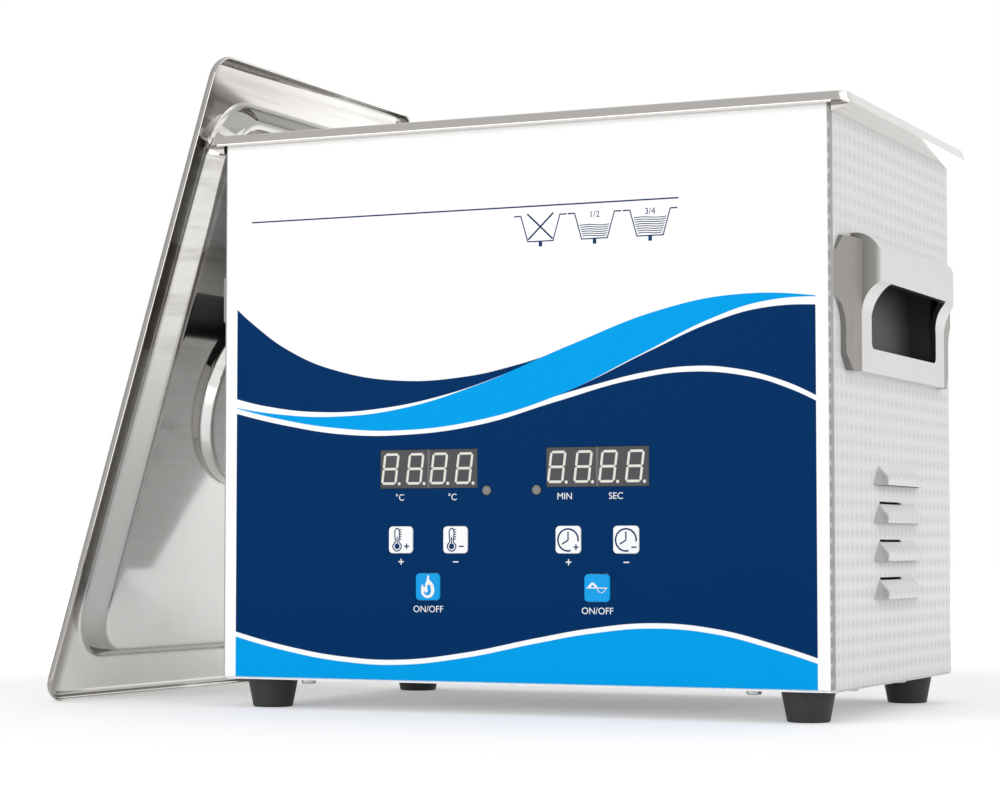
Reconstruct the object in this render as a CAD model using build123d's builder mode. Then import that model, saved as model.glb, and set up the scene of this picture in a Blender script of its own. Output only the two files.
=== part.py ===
"""Benchtop ultrasonic cleaner, 3.2 litre class, with its lid off and leaning on its left side.

Frame: millimetres, +Z up, -Y is the front. The origin is the centre of the base plate's
underside, so the feet reach below it, to the floor at -foot_height.
"""

from math import atan2, cos, degrees, radians, sin, tan
import os

from build123d import *

os.makedirs("parts", exist_ok=True)

# ---- driving dimensions ----------------------------------------------------------------
body_width = 265.0
body_depth = 167.0
body_height = 222.0  # base plate underside to the rim's lower edge
sheet = 0.8  # casing, rear panel, tank and lid
base_sheet = 1.0
bend_radius = 1.6
foot_height = 12.0

rim_overhang_side = 8.3
rim_overhang_front = 4.8
rim_height = 4.5
rim_flare = 1.5  # how much narrower the rim is at its top, on each side
rim_corner = 7.0

tank_length = 240.0
tank_width = 137.0
tank_depth = 100.0  # rim top to tank floor
mouth_length = 254.0
mouth_width = 158.0
mouth_slope_depth = 14.0
tank_corner = 20.0
mouth_corner = 25.0

lid_length = 287.0
lid_width = 183.0
lid_lean = 17.1  # degrees from vertical
lid_setback = 7.4  # how much further back than the body's centre it stands
lid_skirt = 4.5
lid_border_ends = 18.0  # from the lid's edge to the raised panel
lid_border_sides = 14.0
panel_rise = 9.6
dish_radius = 42.0
dish_depth = 6.0

overlay_thickness = 0.8
overlay_width = 261.6
key_size = 11.1
key_travel = 0.4
display_length = 43.6
display_height = 15.8

handle_length = 120.0  # without the flares at its ends
handle_height = 53.5
hood_reach = 10.4
frame_reach = 4.2
handle_wall = 2.0
pocket_depth = 7.0

board_thickness = 1.6
transducer_spacing = 110.0

# ---- clearances ------------------------------------------------------------------------
slip = 0.15  # a key, drawer or rocker in its hole
gap = 0.3  # between things that pass each other
screw_play = 0.1

# ---- derived places --------------------------------------------------------------------
floor = -foot_height
half_width = body_width / 2
half_depth = body_depth / 2
rim_bottom = body_height
rim_top = rim_bottom + rim_height
seal_thickness = 1.2
casing_top = rim_top - sheet - seal_thickness
tank_floor = rim_top - tank_depth
tank_underside = tank_floor - sheet
front_face = -half_depth
front_inside = front_face + sheet
overlay_face = front_face - overlay_thickness
rear_face = half_depth + sheet  # outside of the rear panel

STANDING = (Align.CENTER, Align.CENTER, Align.MIN)  # on its place, not centred on it


def save(part, label):
    """Labels a finished piece and writes it as parts/label.step."""
    part.label = label
    export_step(part, f"parts/{label}.step")


def placed_on_front(depth):
    """A plane parallel to the front, its X to the right and its Z towards the viewer."""
    return Plane(origin=(0, depth, 0), x_dir=(1, 0, 0), z_dir=(0, -1, 0))


def placed_on_rear(depth):
    """A plane parallel to the rear, its Z pointing backwards; its X runs to the left."""
    return Plane(origin=(0, depth, 0), x_dir=(-1, 0, 0), z_dir=(0, 1, 0))


def placed_below(up):
    """A plane parallel to the base, its Z pointing down; its Y runs to the front."""
    return Plane(origin=(0, 0, up), x_dir=(1, 0, 0), z_dir=(0, 0, -1))


def level_edges(part, level, across, along):
    """A part's edges at one height whose middles lie within an outline about the origin."""
    edges = part.edges().filter_by_position(Axis.Z, level - 0.01, level + 0.01)
    edges = edges.filter_by_position(Axis.X, -across - 0.01, across + 0.01)
    return edges.filter_by_position(Axis.Y, -along - 0.01, along + 0.01)


def pan_screws(plane, places, radius, length):
    """Pan-head screws with crossed slots: heads on the plane, shanks behind it."""
    head_radius = 2 * radius
    head_height = 1.3 * radius
    with BuildPart() as screws:
        with BuildSketch(plane):
            with Locations(places):
                Circle(head_radius)
        extrude(amount=head_height)
        fillet(screws.edges().group_by(Axis(plane.origin, plane.z_dir))[-1], head_height / 2)
        with BuildSketch(plane):
            with Locations(places):
                Circle(radius)
        extrude(amount=-length)
        with BuildSketch(plane.offset(head_height)):
            with Locations(places):
                Rectangle(head_radius, radius / 3)
                Rectangle(radius / 3, head_radius)
        extrude(amount=-head_height / 2, mode=Mode.SUBTRACT)
    return screws.part


# ---- places of the front controls (across, up) -----------------------------------------
display_up = 85.9
display_across = 36.7
led_up = 77.0
led_across = 10.85
led_radius = 2.1
key_row_up = 57.4
key_low_up = 38.6
key_step = 12.2  # half the distance between a pair of keys
stem_radius = 2.0
key_places = {
    "key_temperature_up": (-display_across - key_step, key_row_up),
    "key_temperature_down": (-display_across + key_step, key_row_up),
    "key_heater": (-display_across, key_low_up),
    "key_time_up": (display_across - key_step, key_row_up),
    "key_time_down": (display_across + key_step, key_row_up),
    "key_ultrasonic": (display_across, key_low_up),
}
display_places = [(-display_across, display_up), (display_across, display_up)]
led_places = [(-led_across, led_up), (led_across, led_up)]

# ---- places of the screws and feet -----------------------------------------------------
flange = 20.0  # the casing's inward bottom flange
rear_flange = 12.0
foot_inset = 15.5
foot_places = {
    "foot_front_left": (-half_width + foot_inset, -half_depth + foot_inset),
    "foot_front_right": (half_width - foot_inset, -half_depth + foot_inset),
    "foot_rear_left": (-half_width + foot_inset, half_depth - foot_inset),
    "foot_rear_right": (half_width - foot_inset, half_depth - foot_inset),
}
foot_screw_radius = 2.0
base_screw_radius = 1.5
base_screw_inset = 10.0
base_screw_places = [
    (side * across, along)
    for side in (-1, 1)
    for across, along in (
        (half_width - 35.5, -half_depth + base_screw_inset),
        (half_width - base_screw_inset, -half_depth + 53.0),
        (half_width - base_screw_inset, -half_depth + 120.0),
    )
]
rear_screw_places = [
    (side * (half_width - rear_flange / 2), up)
    for side in (-1, 1)
    for up in (18.0, body_height / 2, body_height - 18.0)
]

# ---- places on the sides ---------------------------------------------------------------
handle_up = 148.75
pocket_length = 98.0  # outside of the liner
pocket_height = 41.0
pocket_wall = 1.5
pocket_flange = 1.5
window_length = 93.6
window_top_length = 83.0
window_top = 157.0
window_bottom = 131.5
cutout_length = pocket_length + 2 * gap
cutout_height = pocket_height + 2 * gap
handle_screw_places = [
    (along, handle_up + up)
    for along in (-handle_length / 2 + 5.0, handle_length / 2 - 5.0)
    for up in (-15.0, 15.0)
]
handle_screw_radius = 1.25
louvre_length = 69.0  # along the open lower edge
louvre_top_length = 49.0
louvre_height = 9.0
louvre_reach = 4.0
louvre_pitch = 15.0
louvre_middle_up = 61.0
louvre_count = 4

# ---- places on the rear ----------------------------------------------------------------
inlet_across = -78.0  # towards the left seen from the front
inlet_up = 52.0
inlet_body_width = 27.0
inlet_body_height = 32.0
inlet_screw_spacing = 40.0
switch_across = inlet_across + 50.0
switch_body_width = 14.0
switch_body_height = 22.0

# ---- casing: front and both sides in one bent sheet ------------------------------------
louvre_ups = [louvre_middle_up + louvre_pitch * (n - (louvre_count - 1) / 2) for n in range(louvre_count)]
louvre_lip = 3.2
louvre_edge_radius = 3.0
louvre_slit = 1.0
louvre_slit_length = 30.0
louvre_slit_along = -9.0
stem_hole_radius = stem_radius + gap
window_play = 0.4  # round the displays in the casing


def louvre_hoods(wall):
    """The pressed hoods of the right side; with a wall, the hollow inside them, open below."""
    wide, narrow = louvre_length / 2 - wall, louvre_top_length / 2 - wall
    with BuildPart() as hoods:
        for up in louvre_ups:
            low, high = up - louvre_height / 2, up + louvre_height / 2 - wall
            with BuildSketch(Plane.YZ.offset(half_width - sheet)):
                with BuildLine():
                    Polyline((-wide, low), (wide, low), (narrow, high), (-narrow, high), close=True)
                make_face()
            with BuildSketch(Plane.YZ.offset(half_width + louvre_reach - wall)):
                with BuildLine():
                    lip_top = low + louvre_lip - wall
                    Polyline((-narrow, low), (narrow, low), (narrow, lip_top), (-narrow, lip_top), close=True)
                make_face()
            loft(ruled=True)
            ridges = hoods.edges(Select.LAST)
            ridges = ridges.filter_by_position(Axis.X, half_width, half_width + louvre_reach)
            fillet(ridges.filter_by_position(Axis.Z, low + slip, high), louvre_edge_radius - wall)
    return hoods.part


with BuildPart() as casing:
    with BuildSketch(Plane.XY.offset(base_sheet)):
        RectangleRounded(body_width, body_depth, bend_radius)
        RectangleRounded(
            body_width - 2 * sheet, body_depth - 2 * sheet, bend_radius - sheet, mode=Mode.SUBTRACT
        )
        with Locations((0, half_depth)):
            Rectangle(body_width - 2 * rear_flange, 4 * sheet, mode=Mode.SUBTRACT)
    extrude(amount=casing_top - base_sheet)
    with BuildSketch(Plane.XY.offset(base_sheet)):
        Rectangle(body_width - sheet, body_depth - sheet)
        with Locations((0, flange)):
            Rectangle(body_width - 2 * flange, body_depth, mode=Mode.SUBTRACT)
    extrude(amount=sheet)
    hoods = louvre_hoods(0)
    hollows = louvre_hoods(sheet)
    add(hoods)
    add(mirror(hoods, about=Plane.YZ, mode=Mode.PRIVATE))
    add(hollows, mode=Mode.SUBTRACT)
    add(mirror(hollows, about=Plane.YZ, mode=Mode.PRIVATE), mode=Mode.SUBTRACT)
    for side in (-1, 1):
        for up in louvre_ups[:-1]:
            with Locations((side * half_width, louvre_slit_along, up + louvre_height / 2 - louvre_slit)):
                Box(3 * sheet, louvre_slit_length, louvre_slit, mode=Mode.SUBTRACT)
        with BuildSketch(Plane.YZ.offset(side * half_width)):
            with Locations((0, handle_up)):
                Rectangle(cutout_length, cutout_height)
            with Locations(handle_screw_places):
                Circle(handle_screw_radius + screw_play)
        extrude(amount=2 * sheet, both=True, mode=Mode.SUBTRACT)
    with BuildSketch(placed_on_front(front_inside + sheet)):
        with Locations(display_places):
            Rectangle(display_length + 2 * window_play, display_height + 2 * window_play)
        with Locations(led_places):
            Circle(led_radius + slip)
        with Locations(list(key_places.values())):
            Circle(stem_hole_radius)
    extrude(amount=3 * sheet, mode=Mode.SUBTRACT)
    with BuildSketch(Plane.XY):
        with Locations(list(foot_places.values())):
            Circle(foot_screw_radius + screw_play)
        with Locations(base_screw_places):
            Circle(base_screw_radius + screw_play)
    extrude(amount=4 * sheet, mode=Mode.SUBTRACT)
    with BuildSketch(placed_on_rear(half_depth - 3 * sheet)):
        with Locations([(-across, up) for across, up in rear_screw_places]):
            Circle(base_screw_radius + screw_play)
    extrude(amount=6 * sheet, mode=Mode.SUBTRACT)
save(casing.part, "casing")

# ---- rear panel ------------------------------------------------------------------------
panel_edge = 0.5  # the rear panel and base plate stop this far inside the casing's outline
body_play = 0.2
with BuildPart() as rear_panel:
    with BuildSketch(placed_on_rear(half_depth)):
        with Locations((0, (base_sheet + casing_top) / 2)):
            Rectangle(body_width - 2 * panel_edge, casing_top - base_sheet)
        with Locations([(-across, up) for across, up in rear_screw_places]):
            Circle(base_screw_radius + screw_play, mode=Mode.SUBTRACT)
        with Locations((-inlet_across, inlet_up)):
            Rectangle(
                inlet_body_width + 2 * body_play, inlet_body_height + 2 * body_play, mode=Mode.SUBTRACT
            )
        with Locations([(-inlet_across + side * inlet_screw_spacing / 2, inlet_up) for side in (-1, 1)]):
            Circle(base_screw_radius + screw_play, mode=Mode.SUBTRACT)
        with Locations((-switch_across, inlet_up)):
            Rectangle(
                switch_body_width + 2 * body_play, switch_body_height + 2 * body_play, mode=Mode.SUBTRACT
            )
    extrude(amount=sheet)
save(rear_panel.part, "rear_panel")

# ---- base plate, feet and their screws -------------------------------------------------
vent_pitch = 16.0
vent_places = [(vent_pitch * (n + 0.5), 0.0) for n in range(-4, 4)]
vent_length = 60.0
vent_width = 5.0
with BuildPart() as base_plate:
    with BuildSketch(Plane.XY):
        RectangleRounded(body_width - 2 * panel_edge, body_depth - 2 * panel_edge, bend_radius)
        with Locations(list(foot_places.values())):
            Circle(foot_screw_radius + screw_play, mode=Mode.SUBTRACT)
        with Locations(base_screw_places):
            Circle(base_screw_radius + screw_play, mode=Mode.SUBTRACT)
        with Locations(vent_places):
            SlotOverall(vent_length, vent_width, rotation=90, mode=Mode.SUBTRACT)
    extrude(amount=base_sheet)
save(base_plate.part, "base_plate")

foot_top_radius = 10.5
foot_bottom_radius = 8.2
foot_recess_radius = 5.0
foot_recess_depth = 5.0
foot_edge = 0.8
for name, place in foot_places.items():
    with BuildPart() as foot:
        with Locations((*place, floor)):
            Cone(foot_bottom_radius, foot_top_radius, foot_height, align=STANDING)
        fillet(foot.edges().group_by(Axis.Z)[0], foot_edge)
        with Locations((*place, floor)):
            Cylinder(foot_recess_radius, foot_recess_depth, align=STANDING, mode=Mode.SUBTRACT)
            Cylinder(foot_screw_radius + screw_play, foot_height, align=STANDING, mode=Mode.SUBTRACT)
    save(foot.part, name)

base_screw_length = 6.0
foot_nut_height = 3.2
foot_nut_flats = 7.0
inside_flange = base_sheet + sheet  # upper side of the casing's bottom flange
foot_screw_seat = floor + foot_recess_depth
save(
    pan_screws(
        placed_below(0),
        [(across, -along) for across, along in base_screw_places],
        base_screw_radius,
        base_screw_length,
    ),
    "base_screws",
)
save(
    pan_screws(
        placed_below(foot_screw_seat),
        [(x, -y) for x, y in foot_places.values()],
        foot_screw_radius,
        inside_flange + foot_nut_height + 1.0 - foot_screw_seat,
    ),
    "foot_screws",
)
with BuildPart() as foot_nuts:
    with BuildSketch(Plane.XY.offset(inside_flange)):
        with Locations(list(foot_places.values())):
            RegularPolygon(foot_nut_flats / 2, 6, major_radius=False)
            Circle(foot_screw_radius + screw_play, mode=Mode.SUBTRACT)
    extrude(amount=foot_nut_height)
save(foot_nuts.part, "foot_nuts")
save(
    pan_screws(
        placed_on_rear(rear_face),
        [(-across, up) for across, up in rear_screw_places],
        base_screw_radius,
        base_screw_length,
    ),
    "rear_screws",
)

# ---- tank with its rim, and the seal under the rim -------------------------------------
tank_floor_radius = 12.0
waist_radius = 6.0
mouth_edge_radius = 2.0
rim_edge_radius = 0.7
rim_length = body_width + 2 * rim_overhang_side
rim_width = body_depth + 2 * rim_overhang_front
waist_up = rim_top - mouth_slope_depth
flare_angle = degrees(atan2(rim_flare, rim_height))


def bowl(wall):
    """The space inside the tank, grown by a wall all round."""
    with BuildPart() as form:
        with BuildSketch(Plane.XY.offset(rim_top)) as mouth:
            RectangleRounded(mouth_length + 2 * wall, mouth_width + 2 * wall, mouth_corner + wall)
        with BuildSketch(Plane.XY.offset(waist_up)) as waist:
            RectangleRounded(tank_length + 2 * wall, tank_width + 2 * wall, tank_corner + wall)
        loft([waist.sketch, mouth.sketch], ruled=True)
        extrude(waist.sketch, amount=tank_floor - wall - waist_up)
        fillet(form.edges().group_by(Axis.Z)[0], tank_floor_radius + wall)
        fillet(level_edges(form, waist_up, tank_length, tank_width), waist_radius - wall)
    return form.part


return_drop = 2.8  # how far the folded edge falls towards the casing at the sides
return_play = 0.1


def rim_returns():
    """The rim's edge folded back under it to the casing: sloping at the sides, level elsewhere."""
    reach, depth = half_width + return_play, rear_face + return_play
    with BuildPart() as returns:
        with BuildSketch(Plane.XY.offset(rim_bottom)):
            RectangleRounded(rim_length, rim_width, rim_corner)
            Rectangle(2 * reach, 2 * depth, mode=Mode.SUBTRACT)
            Rectangle(rim_length, 2 * depth, mode=Mode.SUBTRACT)
        extrude(amount=sheet)
        with BuildSketch(Plane.XZ):
            with BuildLine():
                Polyline(
                    (rim_length / 2, rim_bottom),
                    (rim_length / 2 - sheet, rim_bottom + sheet),
                    (reach, rim_bottom + sheet - return_drop),
                    (reach, rim_bottom - return_drop),
                    close=True,
                )
            make_face()
            mirror(about=Plane.YZ)
        extrude(amount=depth, both=True)
        with BuildSketch(Plane.XZ.offset(depth - sheet)):
            with BuildLine():
                Polyline(
                    (rim_length / 2, rim_bottom),
                    (reach, rim_bottom + sheet),
                    (reach, rim_bottom - return_drop),
                    close=True,
                )
            make_face()
            mirror(about=Plane.YZ)
        extrude(amount=sheet)
        mirror(about=Plane.XZ)
        with BuildSketch(Plane.XY.offset(rim_bottom - return_drop)):
            RectangleRounded(rim_length, rim_width, rim_corner)
        extrude(amount=return_drop + sheet, mode=Mode.INTERSECT)
    return returns.part


with BuildPart() as tank:
    with BuildSketch(Plane.XY.offset(rim_bottom)):
        RectangleRounded(rim_length, rim_width, rim_corner)
    extrude(amount=rim_height, taper=flare_angle)
    fillet(tank.edges().group_by(Axis.Z)[-1], rim_edge_radius)
    with BuildSketch(Plane.XY.offset(rim_bottom)):
        RectangleRounded(rim_length - 2 * sheet, rim_width - 2 * sheet, rim_corner - sheet)
    extrude(amount=rim_height - sheet, taper=flare_angle, mode=Mode.SUBTRACT)
    add(rim_returns())
    add(bowl(sheet))
    add(bowl(0), mode=Mode.SUBTRACT)
    mouth_edges = level_edges(tank, rim_top, mouth_length / 2, mouth_width / 2)
    fillet(mouth_edges, mouth_edge_radius)
save(tank.part, "tank")

seal_lap = 2.0  # how far the seal shows outside the casing and inside it
with BuildPart() as rim_seal:
    with BuildSketch(Plane.XY.offset(casing_top)):
        RectangleRounded(body_width + 2 * seal_lap, body_depth + 2 * seal_lap, seal_lap)
        RectangleRounded(
            body_width - 2 * sheet - seal_lap, body_depth - 2 * sheet - seal_lap, seal_lap, mode=Mode.SUBTRACT
        )
    extrude(amount=seal_thickness)
save(rim_seal.part, "rim_seal")

# ---- what is fixed to the tank ---------------------------------------------------------
horn_radius = 29.5  # the front mass where it meets the tank
stack_radius = 22.5
horn_height = 22.0
ring_thickness = 5.0
electrode_thickness = 0.3
ring_bore_radius = 7.5
back_height = 22.0
stack_bolt_radius = 5.0
stack_bolt_head_flats = 16.0
stack_bolt_head_height = 7.0
stack_bolt_grip = 14.0  # how far the bolt reaches into the front mass
horn_bottom = tank_underside - horn_height
stack_layers = (electrode_thickness, ring_thickness, electrode_thickness, ring_thickness, electrode_thickness)
back_top = horn_bottom - sum(stack_layers)
back_bottom = back_top - back_height
bolt_hole_radius = stack_bolt_radius + screw_play
tab_width = 5.0
tab_reach = 5.0
for name, across in (("left", -transducer_spacing / 2), ("right", transducer_spacing / 2)):
    with BuildPart() as front_mass:
        with Locations((across, 0, horn_bottom)):
            Cone(stack_radius, horn_radius, horn_height, align=STANDING)
            Cylinder(bolt_hole_radius, stack_bolt_grip + 1.0, align=STANDING, mode=Mode.SUBTRACT)
    save(front_mass.part, f"transducer_{name}_front_mass")
    with BuildPart() as ceramic:
        for layer in (1, 3):
            with Locations((across, 0, horn_bottom - sum(stack_layers[: layer + 1]))):
                Cylinder(stack_radius, ring_thickness, align=STANDING)
                Cylinder(ring_bore_radius, ring_thickness, align=STANDING, mode=Mode.SUBTRACT)
    save(ceramic.part, f"transducer_{name}_piezo_rings")
    with BuildPart() as back_mass:
        with Locations((across, 0, back_bottom)):
            Cylinder(stack_radius, back_height, align=STANDING)
            Cylinder(bolt_hole_radius, back_height, align=STANDING, mode=Mode.SUBTRACT)
        chamfer(back_mass.edges().group_by(Axis.Z)[0].sort_by(SortBy.LENGTH)[-1], 1.5)
    save(back_mass.part, f"transducer_{name}_back_mass")
    with BuildPart() as stack_bolt:
        with BuildSketch(Plane.XY.offset(back_bottom)):
            with Locations((across, 0)):
                RegularPolygon(stack_bolt_head_flats / 2, 6, major_radius=False)
        extrude(amount=-stack_bolt_head_height)
        with Locations((across, 0, back_bottom)):
            Cylinder(stack_bolt_radius, horn_bottom + stack_bolt_grip - back_bottom, align=STANDING)
    save(stack_bolt.part, f"transducer_{name}_bolt")

with BuildPart() as electrodes:
    for layer in (0, 2, 4):
        with BuildSketch(Plane.XY.offset(horn_bottom - sum(stack_layers[: layer + 1]))):
            with Locations((-transducer_spacing / 2, 0), (transducer_spacing / 2, 0)):
                Circle(stack_radius)
                with Locations((0, stack_radius)):
                    Rectangle(tab_width, 2 * tab_reach)
                Circle(ring_bore_radius, mode=Mode.SUBTRACT)
        extrude(amount=electrode_thickness)
save(electrodes.part, "transducer_electrodes")

heater_length = 170.0
heater_height = 48.0
heater_thickness = 1.5
heater_up = 168.0
for name, side in (("front", -1), ("rear", 1)):
    with BuildPart() as heater:
        with BuildSketch(Plane.XZ.offset(-side * (tank_width / 2 + sheet))):
            with Locations((0, heater_up)):
                RectangleRounded(heater_length, heater_height, 4.0)
        extrude(amount=-side * heater_thickness)
    save(heater.part, f"heater_pad_{name}")

sensor_across = 0.0
sensor_along = 32.0
with BuildPart() as sensor:
    with Locations((sensor_across, sensor_along, tank_underside - 5.0)):
        Box(16.0, 10.0, 5.0, align=STANDING)
    with BuildSketch(Plane.XZ.offset(-sensor_along + 5.0)):
        with Locations((sensor_across, tank_underside - 2.6)):
            Circle(1.9)
    extrude(amount=14.0)
save(sensor.part, "temperature_sensor")

# ---- ultrasonic generator board on the base --------------------------------------------
board_length = 170.0
board_width = 88.0
board_along = -2.0
standoff_height = 9.0
standoff_flats = 6.0
board_screw_radius = 1.5
board_bottom = base_sheet + standoff_height
board_top = board_bottom + board_thickness
board_hole_places = [
    (side * (board_length / 2 - 6.0), board_along + back * (board_width / 2 - 6.0))
    for side in (-1, 1)
    for back in (-1, 1)
]
with BuildPart() as board_standoffs:
    with BuildSketch(Plane.XY.offset(base_sheet)):
        with Locations(board_hole_places):
            RegularPolygon(standoff_flats / 2, 6, major_radius=False)
    extrude(amount=standoff_height)
    with BuildSketch(Plane.XY.offset(board_bottom)):
        with Locations(board_hole_places):
            Circle(board_screw_radius)
    extrude(amount=board_thickness)
save(board_standoffs.part, "board_standoffs")

with BuildPart() as generator_board:
    with BuildSketch(Plane.XY.offset(board_bottom)):
        with Locations((0, board_along)):
            RectangleRounded(board_length, board_width, 2.0)
        with Locations(board_hole_places):
            Circle(board_screw_radius + screw_play, mode=Mode.SUBTRACT)
    extrude(amount=board_thickness)
save(generator_board.part, "generator_board")

transformer_place = (-48.0, board_along + 8.0)
core_size = (42.0, 18.0, 34.0)
winding_reach = 7.0
with BuildPart() as transformer:
    with Locations((*transformer_place, board_top)):
        Box(*core_size, align=STANDING)
    with BuildSketch(Plane.XY.offset(board_top + 6.0)):
        with Locations(transformer_place):
            RectangleRounded(core_size[0] - 14.0, core_size[1] + 2 * winding_reach, 5.0)
    extrude(amount=core_size[2] - 12.0)
save(transformer.part, "board_transformer")

heatsink_length = 70.0
heatsink_depth = 26.0
heatsink_height = 30.0
heatsink_place = (34.0, board_along + 24.0)
fin_count = 9
fin_pitch = heatsink_length / fin_count
fin_gap = 5.6
fin_back = 4.0
with BuildPart() as heatsink:
    with Locations((*heatsink_place, board_top)):
        Box(heatsink_length, heatsink_depth, heatsink_height, align=STANDING)
    with BuildSketch(Plane.XY.offset(board_top)):
        with Locations((heatsink_place[0], heatsink_place[1] + fin_back / 2)):
            with GridLocations(fin_pitch, 0, fin_count - 1, 1):
                Rectangle(fin_gap, heatsink_depth - fin_back)
    extrude(amount=heatsink_height, mode=Mode.SUBTRACT)
save(heatsink.part, "board_heatsink")

capacitor_radius = 9.0
capacitor_height = 30.0
capacitor_places = [(-8.0 + 21.0 * n, board_along - 26.0) for n in range(3)]
with BuildPart() as capacitors:
    with Locations([(*place, board_top) for place in capacitor_places]):
        Cylinder(capacitor_radius, capacitor_height, align=STANDING)
    fillet(capacitors.edges().group_by(Axis.Z)[-1], 1.0)
save(capacitors.part, "board_capacitors")

# ---- control board behind the front, with its switches, displays and lamps -------------
display_depth = 8.0
display_recess = 0.1  # the displays' faces behind the overlay's
display_split = 0.3
display_face = overlay_face + display_recess
control_front = display_face + display_depth
control_length = 134.0
control_height = 76.0
control_up = 61.0
spacer_places = [
    (side * (control_length / 2 - 4.0), control_up + up * (control_height / 2 - 4.0))
    for side in (-1, 1)
    for up in (-1, 1)
]
spacer_radius = 3.0
with BuildPart() as control_spacers:
    with BuildSketch(placed_on_front(front_inside)):
        with Locations(spacer_places):
            Circle(spacer_radius)
    extrude(amount=-(control_front - front_inside))
    with BuildSketch(placed_on_front(control_front)):
        with Locations(spacer_places):
            Circle(board_screw_radius)
    extrude(amount=-board_thickness)
save(control_spacers.part, "control_spacers")

with BuildPart() as control_board:
    with BuildSketch(placed_on_front(control_front)):
        with Locations((0, control_up)):
            RectangleRounded(control_length, control_height, 2.0)
        with Locations(spacer_places):
            Circle(board_screw_radius + screw_play, mode=Mode.SUBTRACT)
    extrude(amount=-board_thickness)
save(control_board.part, "control_board")

for name, across in (("left", -display_across), ("right", display_across)):
    for half, side in (("a", -1), ("b", 1)):
        module_width = (display_length - 2 * slip - display_split) / 2
        with BuildPart() as display:
            with BuildSketch(placed_on_front(control_front)):
                with Locations((across + side * (module_width + display_split) / 2, display_up)):
                    Rectangle(module_width, display_height - 2 * slip)
            extrude(amount=display_depth)
        save(display.part, f"display_{name}_{half}")

led_proud = 0.3
with BuildPart() as leds:
    with BuildSketch(placed_on_front(control_front)):
        with Locations(led_places):
            Circle(led_radius - slip)
    extrude(amount=control_front - overlay_face + led_proud)
    fillet(leds.edges().group_by(Axis.Y)[0], 0.25)
save(leds.part, "status_leds")

key_proud = 0.5
key_thickness = 0.8
key_corner = 1.8
key_back = overlay_face - key_proud + key_thickness
stem_length = 1.9
switch_button_radius = 1.75
switch_button_top = key_back + stem_length + key_travel + screw_play
switch_case = 6.2
switch_case_height = 3.4
with BuildPart() as tact_switches:
    with BuildSketch(placed_on_front(control_front)):
        with Locations(list(key_places.values())):
            Rectangle(switch_case, switch_case)
    extrude(amount=switch_case_height)
    with BuildSketch(placed_on_front(control_front)):
        with Locations(list(key_places.values())):
            Circle(switch_button_radius)
    extrude(amount=control_front - switch_button_top)
save(tact_switches.part, "tact_switches")

# ---- front overlay and its keys --------------------------------------------------------
overlay_bottom = base_sheet
overlay_top = rim_bottom
with BuildPart() as overlay:
    with BuildSketch(placed_on_front(front_face)):
        with Locations((0, (overlay_bottom + overlay_top) / 2)):
            Rectangle(overlay_width, overlay_top - overlay_bottom)
        with Locations(display_places):
            Rectangle(display_length, display_height, mode=Mode.SUBTRACT)
        with Locations(led_places):
            Circle(led_radius, mode=Mode.SUBTRACT)
        with Locations(list(key_places.values())):
            RectangleRounded(key_size, key_size, key_corner, mode=Mode.SUBTRACT)
    extrude(amount=overlay_thickness)
save(overlay.part, "front_overlay")

for name, place in key_places.items():
    with BuildPart() as key:
        with BuildSketch(placed_on_front(key_back)):
            with Locations(place):
                RectangleRounded(key_size - 2 * slip, key_size - 2 * slip, key_corner - slip)
        extrude(amount=key_thickness)
        fillet(key.edges().group_by(Axis.Y)[0], 0.35)
        with BuildSketch(placed_on_front(key_back)):
            with Locations(place):
                Circle(stem_radius)
        extrude(amount=-stem_length)
    save(key.part, name)

# ---- handles: a formed silver cup over a black liner -----------------------------------
handle_bottom = handle_up - handle_height / 2
handle_top = handle_up + handle_height / 2
hood_radius = 8.5
step_low = 144.0  # the front curves out from the frame here, up to the hood over the window
flare_length = 164.0  # over the flared ends of the hood, on the casing
flare_low_length = 147.2  # over the flared ends of the frame
flare_low_top = 137.0
flare_high_bottom = 149.0
flare_top = 173.0
flare_edge = 1.1  # thickness at the very ends
flare_corner = 6.0


def handle_form(wall):
    """The outside of the right-hand handle, or its hollow with a wall given."""
    frame, hood = half_width + frame_reach - wall, half_width + hood_reach - wall
    back = half_width - wall
    top, bottom = handle_top - wall, handle_bottom + wall
    radius = hood_radius - wall
    step = hood_reach - frame_reach
    step_radius = (step**2 + (window_top - step_low) ** 2) / (2 * step) + wall
    lip = step_low + (2 * step_radius * step - step**2) ** 0.5
    with BuildPart() as form:
        with BuildSketch(Plane.XZ):
            with BuildLine():
                Polyline(
                    (hood - radius, top), (back, top), (back, bottom), (frame, bottom), (frame, step_low)
                )
                TangentArc((frame, step_low), (hood, lip), tangent=(0, 1))
                Line((hood, lip), (hood, top - radius))
                TangentArc((hood, top - radius), (hood - radius, top), tangent=(0, 1))
            make_face()
        extrude(amount=handle_length / 2, both=True)
        with BuildSketch(Plane.XY.offset(bottom)):
            with BuildLine():
                end = handle_length / 2 - wall
                Polyline((hood - radius, end), (back, end), (back, -end), (hood - radius, -end))
                TangentArc((hood - radius, -end), (hood, -end + radius), tangent=(1, 0))
                Line((hood, -end + radius), (hood, end - radius))
                TangentArc((hood, end - radius), (hood - radius, end), tangent=(0, 1))
            make_face()
        extrude(amount=top - bottom, mode=Mode.INTERSECT)
    return form.part


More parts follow.
